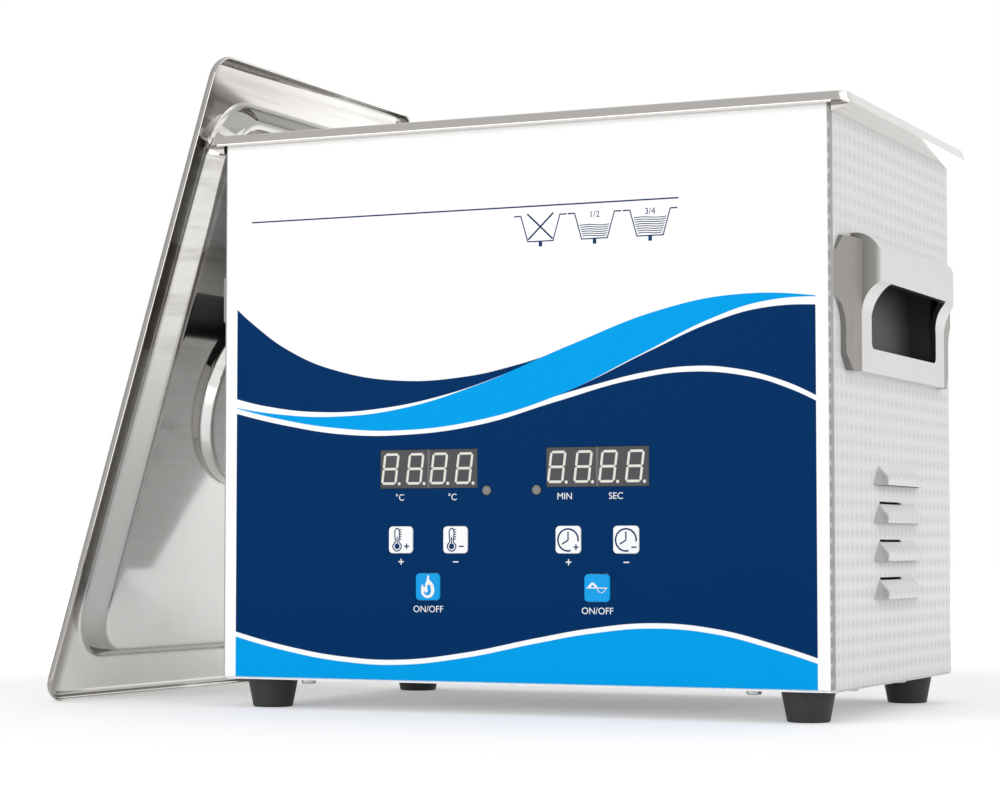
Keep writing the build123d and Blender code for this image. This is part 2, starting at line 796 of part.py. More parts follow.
def handle_flares():
    """The right-hand handle's foot, which thins out along the casing at both ends."""
    high, low = flare_length / 2, flare_low_length / 2
    with BuildPart() as flares:
        with BuildSketch(Plane.YZ.offset(half_width)):
            with BuildLine():
                Polyline(
                    (0, flare_top),
                    (0, handle_bottom),
                    (low - flare_corner, handle_bottom),
                    (low, handle_bottom + flare_corner),
                    (low, flare_low_top),
                )
                TangentArc((low, flare_low_top), (high, flare_high_bottom), tangent=(0, 1))
                Polyline(
                    (high, flare_high_bottom),
                    (high, flare_top - flare_corner),
                    (high - flare_corner, flare_top),
                    (0, flare_top),
                )
            make_face()
            mirror(about=Plane.YZ)
        extrude(amount=frame_reach)
        with BuildSketch(Plane.XY.offset(handle_bottom)):
            with BuildLine():
                frame = half_width + frame_reach
                Polyline((frame, 0), (half_width, 0), (half_width, high), (half_width + flare_edge, high))
                Polyline((half_width + flare_edge, high), (frame, handle_length / 2), (frame, 0))
            make_face()
            mirror(about=Plane.XZ)
        extrude(amount=handle_height, mode=Mode.INTERSECT)
    return flares.part


boss_radius = 2.5
boss_length = {handle_up - 15.0: frame_reach - 1.0, handle_up + 15.0: hood_reach - 3.4}
with BuildPart() as handle_right:
    add(handle_form(0))
    add(handle_flares())
    add(handle_form(handle_wall), mode=Mode.SUBTRACT)
    with BuildSketch(Plane.YZ.offset(half_width)):
        with BuildLine():
            wide, narrow = window_length / 2, window_top_length / 2
            Polyline((0, window_bottom), (wide, window_bottom), (wide, step_low), (narrow, window_top))
            Line((narrow, window_top), (0, window_top))
            mirror(about=Plane.YZ)
        make_face()
        fillet(vertices().group_by(Axis.Z)[0], 3.0)
    extrude(amount=2 * hood_reach, mode=Mode.SUBTRACT)
    for along, up in handle_screw_places:
        with BuildSketch(Plane.YZ.offset(half_width)):
            with Locations((along, up)):
                Circle(boss_radius)
        extrude(amount=boss_length[up])
    handle_hole_depth = frame_reach - 1.0
    with BuildSketch(Plane.YZ.offset(half_width)):
        with Locations(handle_screw_places):
            Circle(handle_screw_radius + screw_play)
    extrude(amount=handle_hole_depth, mode=Mode.SUBTRACT)
save(handle_right.part, "handle_right")
save(mirror(handle_right.part, about=Plane.YZ), "handle_left")

handle_screw_length = sheet + handle_hole_depth - 0.5
inside_right = Plane(origin=(half_width - sheet, 0, 0), x_dir=(0, -1, 0), z_dir=(-1, 0, 0))
handle_screws = pan_screws(
    inside_right,
    [(-along, up) for along, up in handle_screw_places],
    handle_screw_radius,
    handle_screw_length,
)
with BuildPart() as both_sides_screws:
    add(handle_screws)
    add(mirror(handle_screws, about=Plane.YZ, mode=Mode.PRIVATE))
save(both_sides_screws.part, "handle_screws")

liner_front = frame_reach - handle_wall - gap  # how far the liner reaches out of the casing
with BuildPart() as pocket_right:
    with BuildSketch(Plane.YZ.offset(half_width)):
        with Locations((0, handle_up)):
            Rectangle(pocket_length + 2 * pocket_flange, pocket_height + 2 * pocket_flange)
    extrude(amount=1.0)
    with BuildSketch(Plane.YZ.offset(half_width + liner_front)):
        with Locations((0, handle_up)):
            RectangleRounded(pocket_length, pocket_height, 3.0)
    extrude(amount=-(liner_front + pocket_depth + pocket_wall))
    with BuildSketch(Plane.YZ.offset(half_width + liner_front)):
        with Locations((0, handle_up)):
            RectangleRounded(pocket_length - 2 * pocket_wall, pocket_height - 2 * pocket_wall, 2.0)
    extrude(amount=-(liner_front + pocket_depth), mode=Mode.SUBTRACT)
save(pocket_right.part, "handle_pocket_right")
save(mirror(pocket_right.part, about=Plane.YZ), "handle_pocket_left")

# ---- mains inlet, its fuse drawer and the mains switch ---------------------------------
inlet_flange_thickness = 2.5
inlet_body_depth = 22.0
socket_width = 24.6
socket_height = 16.4
socket_corner = 5.0
socket_depth = 16.5
socket_up = 6.0
drawer_width = 21.6
drawer_height = 7.6
drawer_down = 10.6
drawer_depth = 15.0
inlet_face = rear_face + inlet_flange_thickness
with BuildPart() as inlet:
    with BuildSketch(placed_on_rear(rear_face)):
        with Locations((-inlet_across, inlet_up)):
            RectangleRounded(inlet_screw_spacing + 10.0, inlet_body_height + 4.0, 4.0)
    extrude(amount=inlet_flange_thickness)
    with BuildSketch(placed_on_rear(rear_face)):
        with Locations((-inlet_across, inlet_up)):
            Rectangle(inlet_body_width, inlet_body_height)
    extrude(amount=-inlet_body_depth)
    with BuildSketch(placed_on_rear(inlet_face)):
        with Locations((-inlet_across, inlet_up + socket_up)):
            Rectangle(socket_width, socket_height)
            chamfer(vertices().group_by(Axis.Z)[-1], socket_corner)
    extrude(amount=-socket_depth, mode=Mode.SUBTRACT)
    with BuildSketch(placed_on_rear(inlet_face)):
        with Locations((-inlet_across, inlet_up - drawer_down)):
            Rectangle(drawer_width + 2 * slip, drawer_height + 2 * slip)
    extrude(amount=-(drawer_depth + gap), mode=Mode.SUBTRACT)
    with BuildSketch(placed_on_rear(inlet_face)):
        with Locations([(-inlet_across + side * inlet_screw_spacing / 2, inlet_up) for side in (-1, 1)]):
            Circle(base_screw_radius + screw_play)
    extrude(amount=-2 * inlet_flange_thickness, mode=Mode.SUBTRACT)
    blade_places = [
        (-inlet_across + across, inlet_up + socket_up + up)
        for across, up in ((-7.0, -2.0), (7.0, -2.0), (0, 2.0))
    ]
    with BuildSketch(placed_on_rear(inlet_face)):
        with Locations(blade_places):
            Rectangle(2.0, 4.0)
    extrude(amount=-2 * inlet_body_depth, mode=Mode.SUBTRACT)
save(inlet.part, "mains_inlet")

blade_proud = 13.0  # above the socket's floor
blade_tail = 7.0  # behind the inlet's body
with BuildPart() as blades:
    with BuildSketch(placed_on_rear(inlet_face - socket_depth + blade_proud)):
        with Locations(blade_places):
            Rectangle(2.0, 4.0)
    extrude(amount=-(blade_proud + inlet_body_depth + inlet_flange_thickness - socket_depth + blade_tail))
save(blades.part, "inlet_blades")

with BuildPart() as fuse_drawer:
    with BuildSketch(placed_on_rear(inlet_face + 0.6)):
        with Locations((-inlet_across, inlet_up - drawer_down)):
            Rectangle(drawer_width, drawer_height)
    extrude(amount=-(drawer_depth + 0.6))
    with BuildSketch(placed_on_rear(inlet_face + 0.6)):
        with Locations((-inlet_across, inlet_up - drawer_down + drawer_height / 2 - 1.0)):
            Rectangle(8.0, 2.0)
    extrude(amount=-1.0, mode=Mode.SUBTRACT)
    with BuildSketch(Plane.XZ.offset(-(inlet_face - drawer_depth))):
        with Locations((inlet_across, inlet_up - drawer_down)):
            Rectangle(drawer_width - 1.6, drawer_height - 2.4)
    extrude(amount=-(drawer_depth - 2.5), mode=Mode.SUBTRACT)
save(fuse_drawer.part, "fuse_drawer")

inlet_screw_length = 6.0
save(
    pan_screws(
        placed_on_rear(inlet_face),
        [(-inlet_across + side * inlet_screw_spacing / 2, inlet_up) for side in (-1, 1)],
        base_screw_radius,
        inlet_screw_length,
    ),
    "inlet_screws",
)

switch_flange = 2.0
switch_depth = 14.0
switch_wall = 1.3
pivot_radius = 1.5
pivot_play = 0.05
rocker_reach = 5.0
rocker_half = 7.9
rocker_tilt = 12.0
cavity_half = switch_body_height / 2 - switch_wall
cavity_width = switch_body_width - 2 * switch_wall
with BuildPart() as switch_housing:
    with BuildSketch(placed_on_rear(rear_face)):
        with Locations((-switch_across, inlet_up)):
            RectangleRounded(switch_body_width + 3.6, switch_body_height + 3.6, 1.2)
    extrude(amount=switch_flange)
    with BuildSketch(placed_on_rear(rear_face)):
        with Locations((-switch_across, inlet_up)):
            Rectangle(switch_body_width, switch_body_height)
    extrude(amount=-switch_depth)
    with BuildSketch(placed_on_rear(rear_face + switch_flange)):
        with Locations((-switch_across, inlet_up)):
            Rectangle(cavity_width, 2 * cavity_half)
    extrude(amount=-(switch_flange + switch_depth - switch_wall), mode=Mode.SUBTRACT)
    with BuildSketch(Plane.YZ.offset(switch_across)):
        with Locations((rear_face, inlet_up)):
            Circle(pivot_radius + pivot_play)
    extrude(amount=switch_body_width / 2 - 0.4, both=True, mode=Mode.SUBTRACT)
save(switch_housing.part, "switch_housing")

turned = radians(rocker_tilt)
rocker_plane = Plane(
    origin=(switch_across, rear_face, inlet_up), x_dir=(0, cos(turned), sin(turned)), z_dir=(1, 0, 0)
)
with BuildPart() as rocker:
    with BuildSketch(rocker_plane):
        with BuildLine():
            Polyline(
                (rocker_reach, rocker_half),
                (rocker_reach - 2.0, 0),
                (rocker_reach, -rocker_half),
                (-1.0, -rocker_half - 0.6),
                (-5.0, 0),
                (-1.0, rocker_half + 0.6),
                close=True,
            )
        make_face()
    extrude(amount=cavity_width / 2 - slip, both=True)
    with BuildSketch(rocker_plane):
        Circle(pivot_radius)
    extrude(amount=switch_body_width / 2 - 0.6, both=True)
save(rocker.part, "power_rocker")

# ---- lid, leaning on the rim's left side -----------------------------------------------
lean = radians(lid_lean)
panel_length = lid_length - 2 * lid_border_ends
panel_width = lid_width - 2 * lid_border_sides
panel_level = sheet + panel_rise  # the pressed panel's face above the lid's top surface
panel_slope = 6.0  # how far the panel's sides lean in
panel_corner = 25.0
lid_corner = 10.0
lid_bend_radius = 4.3  # outside, between the border and the skirt
dish_slope = 2.0
rim_left = -rim_length / 2
lid_middle_up = floor + lid_length / 2 * cos(lean) + lid_skirt * sin(lean)
lid_middle_across = rim_left - gap - panel_level / cos(lean) + (lid_middle_up - rim_bottom) * tan(lean)
lid_plane = Plane(
    origin=(lid_middle_across, lid_setback, lid_middle_up), x_dir=(0, 1, 0), z_dir=(cos(lean), 0, -sin(lean))
)
panel_edge_radius = 4.0
panel_foot_radius = 3.0
dish_edge_radius = 2.0
dish_foot_radius = 1.5


def pressed_form(wall):
    """The lid's raised panel with its dish as a solid, a wall smaller all over."""
    low, high = sheet - wall, panel_level - wall
    slope = panel_slope / panel_rise
    inset = wall * (1 + slope**2) ** 0.5 - wall * slope
    top_inset = inset + panel_slope
    dish_inset = wall * (1 + (dish_slope / dish_depth) ** 2) ** 0.5 - wall * dish_slope / dish_depth
    with BuildPart() as form:
        with BuildSketch(Plane.XY.offset(low)):
            RectangleRounded(panel_width - 2 * inset, panel_length - 2 * inset, panel_corner - inset)
        with BuildSketch(Plane.XY.offset(high)):
            RectangleRounded(
                panel_width - 2 * top_inset, panel_length - 2 * top_inset, panel_corner - top_inset
            )
        loft(ruled=True)
        fillet(form.edges().group_by(Axis.Z)[-1], panel_edge_radius - wall)
        with BuildSketch(Plane.XY.offset(high)):
            Circle(dish_radius - dish_inset)
        extrude(amount=dish_depth, taper=degrees(atan2(dish_slope, dish_depth)))
        fillet(form.edges().group_by(Axis.Z)[-1], dish_edge_radius - wall)
        fillet(level_edges(form, high, dish_radius, dish_radius), dish_foot_radius + wall)
    return form.part


def tray(wall):
    """The lid's border and skirt as a solid, a wall smaller below and at the sides."""
    with BuildPart() as form:
        with BuildSketch(Plane.XY.offset(wall)):
            RectangleRounded(lid_width - 2 * wall, lid_length - 2 * wall, lid_corner - wall)
        extrude(amount=lid_skirt)
        fillet(form.edges().group_by(Axis.Z)[0], lid_bend_radius - wall)
    return form.part


with BuildPart() as lid:
    add(tray(0))
    add(tray(sheet), mode=Mode.SUBTRACT)
    add(pressed_form(0))
    fillet(level_edges(lid, sheet, panel_width / 2, panel_length / 2), panel_foot_radius)
    add(pressed_form(sheet), mode=Mode.SUBTRACT)
    fillet(level_edges(lid, 0, panel_width / 2, panel_length / 2), panel_foot_radius + sheet)
save(lid.part.moved(lid_plane.location), "lid")

# the bar across the dish, welded to the panel's other side
bar_width = 16.0
bar_thickness = 3.0
bar_foot = 14.0  # length of each welded end
bar_span = 2 * (dish_radius + 4.0)  # between the welded ends
bar_top = 1.2  # below the lid's top surface
bar_run = 8.0  # length of each sloping part
bar_seat = panel_level - sheet
with BuildPart() as bar:
    with BuildSketch(Plane.YZ):
        with BuildLine():
            foot_start, foot_end = bar_span / 2, bar_span / 2 + bar_foot
            arch_end = foot_start - bar_run
            Polyline(
                (foot_end, bar_seat),
                (foot_start, bar_seat),
                (arch_end, bar_top + bar_thickness),
                (-arch_end, bar_top + bar_thickness),
                (-foot_start, bar_seat),
                (-foot_end, bar_seat),
                (-foot_end, bar_seat - bar_thickness),
                (-foot_start, bar_seat - bar_thickness),
                (-arch_end, bar_top),
                (arch_end, bar_top),
                (foot_start, bar_seat - bar_thickness),
                (foot_end, bar_seat - bar_thickness),
                close=True,
            )
        make_face()
    extrude(amount=bar_width / 2, both=True)
save(bar.part.moved(lid_plane.location), "lid_handle")
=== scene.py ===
"""Looks of the ultrasonic cleaner: finishes, the printed front, display digits, key symbols."""

from math import cos, pi, radians, sin

import bpy
from mathutils import Matrix, Vector


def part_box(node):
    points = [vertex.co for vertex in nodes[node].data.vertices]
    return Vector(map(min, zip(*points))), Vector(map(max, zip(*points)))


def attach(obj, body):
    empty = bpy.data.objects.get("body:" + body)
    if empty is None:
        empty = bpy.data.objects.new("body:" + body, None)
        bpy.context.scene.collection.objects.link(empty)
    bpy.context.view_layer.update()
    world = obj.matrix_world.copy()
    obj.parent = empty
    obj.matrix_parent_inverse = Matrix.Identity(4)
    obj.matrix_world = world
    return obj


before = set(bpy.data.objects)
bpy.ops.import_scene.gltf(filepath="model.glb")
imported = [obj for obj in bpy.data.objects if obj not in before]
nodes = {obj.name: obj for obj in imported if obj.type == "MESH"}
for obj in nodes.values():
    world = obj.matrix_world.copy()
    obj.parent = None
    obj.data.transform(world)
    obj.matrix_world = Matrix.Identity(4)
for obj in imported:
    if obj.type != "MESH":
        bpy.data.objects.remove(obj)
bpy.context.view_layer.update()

MM = 0.001


# ---- camera -----------------------------------------------------------------------------
bpy.ops.object.camera_add(
    location=(0.4282, -1.0273, 0.0554), rotation=(radians(93.171), 0, radians(24.675))
)
camera = bpy.context.object
camera.data.lens = 94.1
camera.data.sensor_width = 36.0
bpy.context.scene.camera = camera


# ---- colours and node maths -------------------------------------------------------------
def linear_part(part):
    return part / 12.92 if part <= 0.04045 else ((part + 0.055) / 1.055) ** 2.4


def tint(red, green, blue):
    """A colour as a paint chart gives it, 0 to 255, turned into the renderer's linear values."""
    parts = [part / 255 for part in (red, green, blue)]
    return (*(linear_part(part) for part in parts), 1.0)


class Value:
    """What a socket gives, so that shader maths reads as an ordinary expression."""

    def __init__(self, tree, socket):
        self.tree = tree
        self.socket = socket

    def maths(self, operation, *values, clamp=False):
        settings = {"operation": operation, "use_clamp": clamp}
        return self.tree.node("ShaderNodeMath", settings, dict(enumerate(values)))

    def __add__(self, other):
        return self.maths("ADD", self, other)

    def __radd__(self, other):
        return self.maths("ADD", other, self)

    def __sub__(self, other):
        return self.maths("SUBTRACT", self, other)

    def __rsub__(self, other):
        return self.maths("SUBTRACT", other, self)

    def __mul__(self, other):
        return self.maths("MULTIPLY", self, other)

    def __rmul__(self, other):
        return self.maths("MULTIPLY", other, self)

    def __truediv__(self, other):
        return self.maths("DIVIDE", self, other)

    def __pow__(self, other):
        return self.maths("POWER", self, other)

    def __abs__(self):
        return self.maths("ABSOLUTE", self)

    def cosine(self):
        return self.maths("COSINE", self)

    def either(self, other):
        """The larger of two values."""
        return self.maths("MAXIMUM", self, other)

    def rise(self, low, high):
        """0 below low and 1 above high, with a soft step between."""
        inputs = {"Value": self, "From Min": low, "From Max": high}
        return self.tree.node("ShaderNodeMapRange", {"interpolation_type": "SMOOTHSTEP"}, inputs)

    def spread(self, low, high):
        """A value of 0 to 1 laid out between low and high."""
        return low + self * (high - low)


class Tree:
    """A node tree, and the one way in which nodes are added to it."""

    def __init__(self, tree):
        self.tree = tree

    def node(self, kind, settings, inputs, output=0):
        made = self.tree.nodes.new(kind)
        for name, value in settings.items():
            if name == "points":
                draw_curve(made.mapping, value)
            else:
                setattr(made, name, value)
        for name, value in inputs.items():
            self.feed(made.inputs[name], value)
        return Value(self, made.outputs[output])

    def feed(self, socket, value):
        if isinstance(value, Value):
            self.tree.links.new(value.socket, socket)
        else:
            socket.default_value = value


def draw_curve(mapping, points):
    """Puts a Float Curve through points, which run from left to right."""
    curve = mapping.curves[0]
    curve.points[0].location = points[0]
    curve.points[1].location = points[-1]
    for point in points[1:-1]:
        curve.points.new(*point)
    mapping.update()


class Finish(Tree):
    """A material: one Principled shader, with the place on the object in millimetres."""

    def __init__(self, name, constants):
        self.material = bpy.data.materials.new(name)
        self.material.use_nodes = True
        super().__init__(self.material.node_tree)
        self.shader = self.tree.nodes["Principled BSDF"]
        for socket, value in constants.items():
            self.shader.inputs[socket].default_value = value
        self.place = self.node("ShaderNodeTexCoord", {}, {}, "Object")
        self.x, self.y, self.z = (self.axis(self.place, n) * 1000 for n in range(3))

    def axis(self, vector, number):
        return self.node("ShaderNodeSeparateXYZ", {}, {0: vector}, number)

    def facing(self, number):
        """How far the surface faces along X, Y or Z, -1 to 1."""
        normal = self.node("ShaderNodeNewGeometry", {}, {}, "Normal")
        return self.axis(normal, number)

    def paint(self, socket, value):
        self.feed(self.shader.inputs[socket], value)
        return self

    def mix(self, factor, first, second, how="MIX"):
        settings = {"data_type": "RGBA", "blend_type": how}
        return self.node("ShaderNodeMix", settings, {0: factor, 6: first, 7: second}, 2)

    def noise(self, size, detail=2.0, roughness=0.5):
        """Cloudy noise of 0 to 1; size is that of its marks along X, Y and Z, in millimetres."""
        scale = [1000 / part for part in size]
        placed = self.node("ShaderNodeMapping", {}, {"Vector": self.place, "Scale": scale})
        inputs = {"Vector": placed, "Scale": 1.0, "Detail": detail, "Roughness": roughness}
        return self.node("ShaderNodeTexNoise", {}, inputs)

    def cells(self, size, feature="F1", output="Distance"):
        """Cells about this many millimetres across."""
        inputs = {"Vector": self.place, "Scale": 1000 / size}
        return self.node("ShaderNodeTexVoronoi", {"feature": feature}, inputs, output)

    def bump(self, height, depth, strength=1.0):
        """Relief: a height of 0 to 1 stands for this depth in millimetres."""
        inputs = {"Height": height, "Distance": depth * MM, "Strength": strength}
        return self.paint("Normal", self.node("ShaderNodeBump", {}, inputs))


# ---- finishes ---------------------------------------------------------------------------
# Sizes and places are in millimetres on the object.
rim_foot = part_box("front_overlay")[1].z / MM
lid_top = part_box("lid")[1].z / MM
display_across = (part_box("display_right_a")[0].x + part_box("display_right_b")[1].x) / 2 / MM
diamond_pitch_across, diamond_pitch_up = 6.2, 5.83
diamond_across, diamond_up = 53.5, 217.2  # the middle of one diamond of the casing's pattern
lid_lean = radians(17.1)
lid_middle = 7.4  # how far behind the casing's middle the lid stands
lid_border_start = 76.0  # from the lid's middle to where its long borders begin
lid_upper_border = 17.0  # how far down the lid's upper border reaches
rim_shadow_line = 0.4  # height of the painted shadow line along the rim's lower edge
bowl_start = 6.0  # how far under the rim's lower edge the tank's satin finish starts


def embossed_coating():
    """Light coating on sheet rolled with rows of small diamonds, with painted shade on the faces
    that look to the front and on the rounded corners.
    """
    finish = Finish("embossed_coating", {"Metallic": 0.0})
    across = (finish.x + finish.y - diamond_across) * (2 * pi / diamond_pitch_across)
    up = (finish.z - diamond_up) * (2 * pi / diamond_pitch_up)
    diamonds = (across.cosine() + up.cosine()).rise(-0.1, 0.9)
    threads = up.cosine().rise(0.85, 1.0) * 0.5
    pattern = diamonds.either(threads)
    cloud = finish.noise((60, 60, 60))
    coat = finish.mix(pattern * 0.8 + cloud * 0.2, tint(227, 227, 228), tint(216, 215, 214))
    # painted shade on the rounded corners, where the surface looks half sideways and half to the
    # front
    bend_shade = abs(finish.facing(0) * finish.facing(1)).rise(0.12, 0.45)
    # painted shade on the faces that look to the front: a darker coat, with the diamonds standing
    # out more
    front_shade = (finish.facing(1) * -1).rise(0.8, 0.98)
    front_shade_coat = finish.mix(pattern, tint(200, 199, 197), tint(138, 135, 131))
    coat = finish.mix(front_shade * 0.75, coat, front_shade_coat)
    coat = finish.mix(bend_shade * 0.7, coat, tint(120, 117, 114))
    finish.paint("Base Color", coat)
    finish.paint("Roughness", pattern.spread(0.34, 0.46) + cloud * 0.05)
    return finish.bump(pattern + finish.noise((0.7, 0.7, 0.7)) * 0.12, 0.1, 0.5)


class PolishedSteel(Finish):
    """Mirror-polished sheet with the faint lines of its polishing along one direction."""

    def __init__(self, name, light, dark, grain):
        super().__init__(name, {"Metallic": 1.0})
        self.lines = self.noise(grain, 3.0)
        self.haze = self.noise((45, 45, 45), 3.0)
        self.steel = self.mix(self.lines * 0.3 + self.haze * 0.7, dark, light)
        self.bump(self.lines, 0.001, 0.5)


def rim_steel():
    """The tank with its rim: painted shade on the rim's front and back, with a painted shadow line
    along the lower edge there, and satin inside the tank."""
    finish = PolishedSteel("rim_steel", tint(226, 224, 221), tint(208, 205, 201), (40, 2.5, 2.5))
    # painted shade: the rim's faces that look to the front and back are darker
    shade = abs(finish.facing(1)).rise(0.5, 0.95)
    steel = finish.mix(shade * 0.8, finish.steel, tint(164, 161, 158))
    # painted shadow: a dark line along the rim's lower edge, on the front and back, where it meets
    # the film
    edge = (1 - finish.z.rise(rim_foot + rim_shadow_line, rim_foot + rim_shadow_line + 0.5)) * shade
    steel = finish.mix(edge * 0.8, steel, tint(84, 80, 76))
    bowl = (rim_foot - bowl_start - finish.z).rise(0, 8)
    finish.paint("Base Color", finish.mix(bowl, steel, tint(243, 242, 240)))
    return finish.paint("Roughness", finish.haze * 0.06 + bowl * 0.22 + 0.06)


def lid_steel():
    """The lid: painted darker reflections along its borders, in streaks where it bends, and in
    faint bands above.
    """
    finish = PolishedSteel("lid_steel", tint(246, 245, 243), tint(228, 226, 223), (2.5, 2.5, 60))
    # painted reflection: dark streaks where the lid bends from one face to the next
    flat = abs(finish.facing(0) * cos(lid_lean) - finish.facing(2) * sin(lid_lean))
    bend_reflection = (1 - flat).rise(0.02, 0.2) * (flat - 0.25).rise(0, 0.3)
    # painted reflection: darker borders along the sides and the top, darker towards the front on
    # top
    sides = (abs(finish.y - lid_middle) - lid_border_start).rise(0, 8)
    upper = finish.z.rise(lid_top - lid_upper_border - 3, lid_top - lid_upper_border)
    towards_front = 1 - finish.y.rise(-80, 100)
    border = (sides * 0.95).either(upper * towards_front.spread(0.35, 0.8))
    steel = finish.mix(border, finish.steel, tint(164, 161, 158))
    # painted reflection: faint dark bands across the upper part of the lid
    bands = finish.noise((40, 200, 9), 3.0, 0.6).rise(0.45, 0.7) * finish.z.rise(90, 180)
    steel = finish.mix(bands * 0.5, steel, tint(150, 147, 143))
    finish.paint("Base Color", finish.mix(bend_reflection * 0.6, steel, tint(104, 101, 97)))
    wipes = finish.noise((22, 30, 22), 4.0, 0.65).rise(0.5, 0.8)
    return finish.paint("Roughness", finish.lines * 0.02 + finish.haze * 0.03 + wipes * 0.03 + 0.06)


def zinc(name, spangle, light, dark, roughness):
    """Zinc coating with its crystals."""
    finish = Finish(name, {"Metallic": 1.0})
    crystals = finish.axis(finish.cells(spangle, output="Color"), 0)
    shade = crystals * 0.7 + finish.noise((8, 8, 8)) * 0.3
    finish.paint("Base Color", finish.mix(shade, dark, light))
    finish.paint("Roughness", crystals * 0.15 + roughness)
    return finish.bump(crystals, 0.004, 0.4)


def machined(name, light, dark, pitch):
    """Turned or milled metal with tool marks at a pitch in millimetres."""
    finish = Finish(name, {"Metallic": 1.0})
    marks = ((finish.z + finish.x * 0.1) * (2 * pi / pitch)).cosine() * 0.5 + 0.5
    wear = finish.noise((6, 6, 6), 3.0)
    finish.paint("Base Color", finish.mix(marks * 0.3 + wear * 0.7, dark, light))
    finish.paint("Roughness", wear.spread(0.28, 0.45))
    return finish.bump(marks, 0.01, 0.5)


def moulded(name, light, dark, roughness, grain=0.45, depth=0.02):
    """Moulded plastic or rubber with a fine spark-eroded grain."""
    finish = Finish(name, {"Metallic": 0.0})
    pores = finish.noise((grain, grain, grain), 2.0)
    cloud = finish.noise((18, 18, 18), 3.0)
    finish.paint("Base Color", finish.mix(cloud * 0.7 + pores * 0.3, dark, light))
    finish.paint("Roughness", roughness + pores * 0.1 + cloud * 0.06)
    return finish.bump(pores, depth, 0.6)


handle_end = 59.6  # from the handle's middle to where its flares begin
hood_underside = 155.5  # just below the hood's lower face


def satin_silver():
    """Silver paint on the handles, with faint upright drawing lines and painted shade on the ends.
    """
    finish = Finish("satin_silver", {"Metallic": 0.2, "Specular IOR Level": 0.3})
    lines = finish.noise((1.6, 1.6, 30), 3.0)
    cloud = finish.noise((25, 25, 25))
    silver = finish.mix(lines * 0.3 + cloud * 0.7, tint(216, 215, 213), tint(228, 227, 226))
    # painted shade: the faces turned to the front and back, at the handle's ends, are much darker
    turned = abs(finish.facing(1)).rise(0.12, 0.7)
    silver = finish.mix(turned * 0.9, silver, tint(112, 110, 106))
    # painted shade on the flared ends: a darker tone, with the drawing lines in it
    shaded_streaks = finish.mix(lines, tint(138, 134, 129), tint(164, 160, 155))
    flare_shade = abs(finish.y).rise(handle_end, handle_end + 0.6) * (1 - turned)
    silver = finish.mix(flare_shade, silver, shaded_streaks)
    # painted shade under the hood, where faces looking down are near black; the window's cut sides
    # are dark as the black liner is
    looks_down = (finish.facing(2) * -1).rise(0.9, 0.97)
    under_hood_shade = looks_down * finish.z.rise(hood_underside, hood_underside + 1)
    window_side = (finish.y * finish.facing(1) * -1).rise(8, 25)
    liner_and_shade = under_hood_shade.either(window_side)
    finish.paint("Base Color", finish.mix(liner_and_shade, silver, tint(34, 34, 34)))
    finish.paint("Roughness", lines.spread(0.36, 0.48))
    return finish.bump(lines, 0.004, 0.3)


def circuit_board():
    """Green solder mask over tracks and pads."""
    finish = Finish("circuit_board", {"Metallic": 0.0})
    tracks = finish.cells(7.0, "DISTANCE_TO_EDGE").rise(0.06, 0.1)
    pads = finish.cells(4.0).rise(0.16, 0.2)
    green = finish.mix(tracks, tint(30, 112, 62), tint(18, 82, 45))
    finish.paint("Base Color", finish.mix(pads, tint(190, 180, 150), green))
    finish.paint("Roughness", tracks.spread(0.3, 0.42))
    return finish.bump(1 - tracks, 0.03, 0.6)


weave_pitch = 1.4


def woven_silicone():
    """Red-brown silicone over a woven mat."""
    finish = Finish("heater_silicone", {"Metallic": 0.0})
    turn = 2 * pi / weave_pitch
    weave = (finish.x * turn).cosine() * (finish.z * turn).cosine()
    weave = weave * 0.5 + 0.5
    finish.paint("Base Color", finish.mix(weave, tint(150, 62, 38), tint(186, 88, 58)))
    finish.paint("Roughness", weave.spread(0.45, 0.6))
    return finish.bump(weave, 0.08, 0.6)


def piezo_ceramic():
    """Fired ceramic with silvered faces."""
    finish = Finish("piezo_ceramic", {})
    faces = abs(finish.facing(2)).rise(0.7, 0.95)
    grain = finish.noise((1.2, 1.2, 1.2), 3.0)
    clay = finish.mix(grain, tint(196, 182, 150), tint(218, 206, 176))
    finish.paint("Base Color", finish.mix(faces, clay, tint(205, 205, 205)))
    finish.paint("Metallic", faces * 0.9)
    finish.paint("Roughness", grain.spread(0.35, 0.5))
    return finish.bump(grain, 0.01, 0.4)


NAVY = tint(0, 48, 97)
SKY = tint(0, 160, 233)
FILM_WHITE = tint(255, 255, 255)
art_left, art_right = -125.7, 126.0
curve_span, curve_height = 260.0, 160.0  # what a Float Curve's two sides stand for, in millimetres

# The edges of the printed bands, each through points (across, up) from left to right.
CRESCENT_TOP = (
    (-130, 157.5), (-118, 147), (-100, 135), (-80, 127), (-50, 121.8), (-20, 122.7), (0, 126.2),
    (20, 131.5),
)
CRESCENT_FOOT = (
    (-130, 117.2), (-110, 112.4), (-85, 109.7), (-60, 110.5), (-30, 115.4), (0, 124.2), (20, 131.5),
)
RIBBON_TOP = (
    (-130, 113.2), (-105, 109.2), (-80, 107.8), (-50, 110.3), (-15, 119.2), (25, 133.8),
    (65, 146.8), (95, 151.2), (130, 149),
)
RIBBON_FOOT = (
    (-130, 113.2), (-105, 107.2), (-80, 103.2), (-50, 101.6), (-15, 105), (20, 114.2),
    (55, 129.3), (85, 142.5), (105, 148), (130, 149),
)
WEDGE_TOP = ((10, 111.5), (25, 116.1), (60, 131), (85, 140.9), (105, 145.6), (130, 145.8))
LINE_TOP = (
    (10, 111.3), (35, 117.8), (60, 122.8), (75, 124.1), (90, 123.3), (110, 118.6), (130, 109.5),
)
LINE_FOOT = (
    (-130, 111), (-100, 104.1), (-75, 100.4), (-50, 99.7), (-15, 103.1), (20, 111.9),
    (50, 119.2), (75, 122), (100, 119.4), (115, 114.7), (130, 107.5),
)
